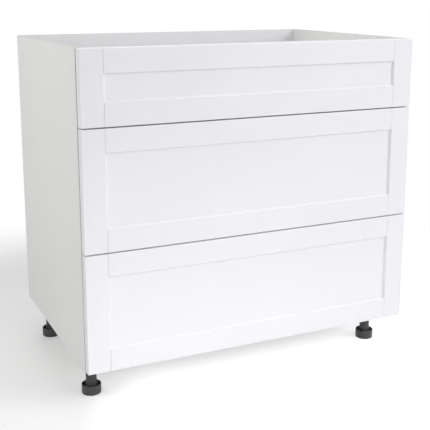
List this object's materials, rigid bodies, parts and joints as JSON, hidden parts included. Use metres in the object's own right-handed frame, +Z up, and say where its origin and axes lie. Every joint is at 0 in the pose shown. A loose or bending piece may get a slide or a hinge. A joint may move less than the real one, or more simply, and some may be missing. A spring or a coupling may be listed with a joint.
{
  "type": "base cabinet with drawers",
  "caption": "Kitchen base cabinet with framed drawer fronts on full-extension runners, an open top for a worktop and adjustable legs.",
  "frame": {"origin": "on the floor, at the centre of the width and of the overall depth, fronts included", "axes": "+Z up, -Y out of the drawer fronts, +X to the right seen from the front"},
  "size_m": [0.9, 0.6044, 0.863],
  "materials": {
    "carcass_board": "white melamine, satin",
    "back_board": "white-faced hardboard",
    "front_lacquer": "white satin foil",
    "drawer_board": "pale grey melamine",
    "drawer_steel": "light powder coat",
    "bracket_steel": "light powder coat",
    "runner_steel": "zinc plated",
    "screw_steel": "zinc plated",
    "zinc": "die-cast, dull",
    "beech": "bare beech",
    "leg_plastic": "moulded, satin",
    "bumper": "soft, clear grey"
  },
  "bodies": {
    "carcass": {"side_panel_left": "carcass_board", "side_panel_right": "carcass_board", "bottom_panel": "carcass_board", "front_rail": "carcass_board", "back_rail": "carcass_board", "back_panel": "back_board", "cam_locks": "zinc", "cam_bolts": "screw_steel", "dowels": "beech", "panel_screws": "screw_steel", "bumpers": "bumper", "lower_cabinet_runners": "runner_steel", "middle_cabinet_runners": "runner_steel", "upper_cabinet_runners": "runner_steel", "leg_socket_front_left": "leg_plastic", "leg_stem_front_left": "leg_plastic", "leg_socket_front_right": "leg_plastic", "leg_stem_front_right": "leg_plastic", "leg_socket_back_left": "leg_plastic", "leg_stem_back_left": "leg_plastic", "leg_socket_back_right": "leg_plastic", "leg_stem_back_right": "leg_plastic"},
    "foot_front_left": {"leg_foot_front_left": "leg_plastic"},
    "foot_front_right": {"leg_foot_front_right": "leg_plastic"},
    "foot_back_left": {"leg_foot_back_left": "leg_plastic"},
    "foot_back_right": {"leg_foot_back_right": "leg_plastic"},
    "lower_drawer": {"lower_front_stiles": "front_lacquer", "lower_front_rails": "front_lacquer", "lower_front_panel": "front_lacquer", "lower_box_side_left": "drawer_steel", "lower_box_side_right": "drawer_steel", "lower_box_bottom": "drawer_board", "lower_box_back": "drawer_board", "lower_front_brackets": "bracket_steel", "lower_drawer_screws": "screw_steel", "lower_drawer_runners": "runner_steel"},
    "lower_telescope": {"lower_telescope_runners": "runner_steel"},
    "middle_drawer": {"middle_front_stiles": "front_lacquer", "middle_front_rails": "front_lacquer", "middle_front_panel": "front_lacquer", "middle_box_side_left": "drawer_steel", "middle_box_side_right": "drawer_steel", "middle_box_bottom": "drawer_board", "middle_box_back": "drawer_board", "middle_front_brackets": "bracket_steel", "middle_drawer_screws": "screw_steel", "middle_drawer_runners": "runner_steel"},
    "middle_telescope": {"middle_telescope_runners": "runner_steel"},
    "upper_drawer": {"upper_front_stiles": "front_lacquer", "upper_front_rails": "front_lacquer", "upper_front_panel": "front_lacquer", "upper_box_side_left": "drawer_steel", "upper_box_side_right": "drawer_steel", "upper_box_bottom": "drawer_board", "upper_box_back": "drawer_board", "upper_front_brackets": "bracket_steel", "upper_drawer_screws": "screw_steel", "upper_drawer_runners": "runner_steel"},
    "upper_telescope": {"upper_telescope_runners": "runner_steel"}
  },
  "joints": [
    {"name": "lower_drawer_slide", "type": "slide", "parent": "carcass", "child": "lower_drawer", "axis": [0, -1, 0], "range_m": [0, 0.48]},
    {"name": "lower_telescope_slide", "type": "slide", "parent": "carcass", "child": "lower_telescope", "axis": [0, -1, 0], "range_m": [0, 0.24]},
    {"name": "middle_drawer_slide", "type": "slide", "parent": "carcass", "child": "middle_drawer", "axis": [0, -1, 0], "range_m": [0, 0.48]},
    {"name": "middle_telescope_slide", "type": "slide", "parent": "carcass", "child": "middle_telescope", "axis": [0, -1, 0], "range_m": [0, 0.24]},
    {"name": "upper_drawer_slide", "type": "slide", "parent": "carcass", "child": "upper_drawer", "axis": [0, -1, 0], "range_m": [0, 0.48]},
    {"name": "upper_telescope_slide", "type": "slide", "parent": "carcass", "child": "upper_telescope", "axis": [0, -1, 0], "range_m": [0, 0.24]},
    {"name": "foot_front_left_height", "type": "slide", "parent": "carcass", "child": "foot_front_left", "axis": [0, 0, -1], "range_m": [0, 0.02]},
    {"name": "foot_front_right_height", "type": "slide", "parent": "carcass", "child": "foot_front_right", "axis": [0, 0, -1], "range_m": [0, 0.02]},
    {"name": "foot_back_left_height", "type": "slide", "parent": "carcass", "child": "foot_back_left", "axis": [0, 0, -1], "range_m": [0, 0.02]},
    {"name": "foot_back_right_height", "type": "slide", "parent": "carcass", "child": "foot_back_right", "axis": [0, 0, -1], "range_m": [0, 0.02]}
  ],
  "couplings": [
    {"joint": "lower_telescope_slide", "follows": "lower_drawer_slide", "ratio": 0.5},
    {"joint": "middle_telescope_slide", "follows": "middle_drawer_slide", "ratio": 0.5},
    {"joint": "upper_telescope_slide", "follows": "upper_drawer_slide", "ratio": 0.5}
  ]
}
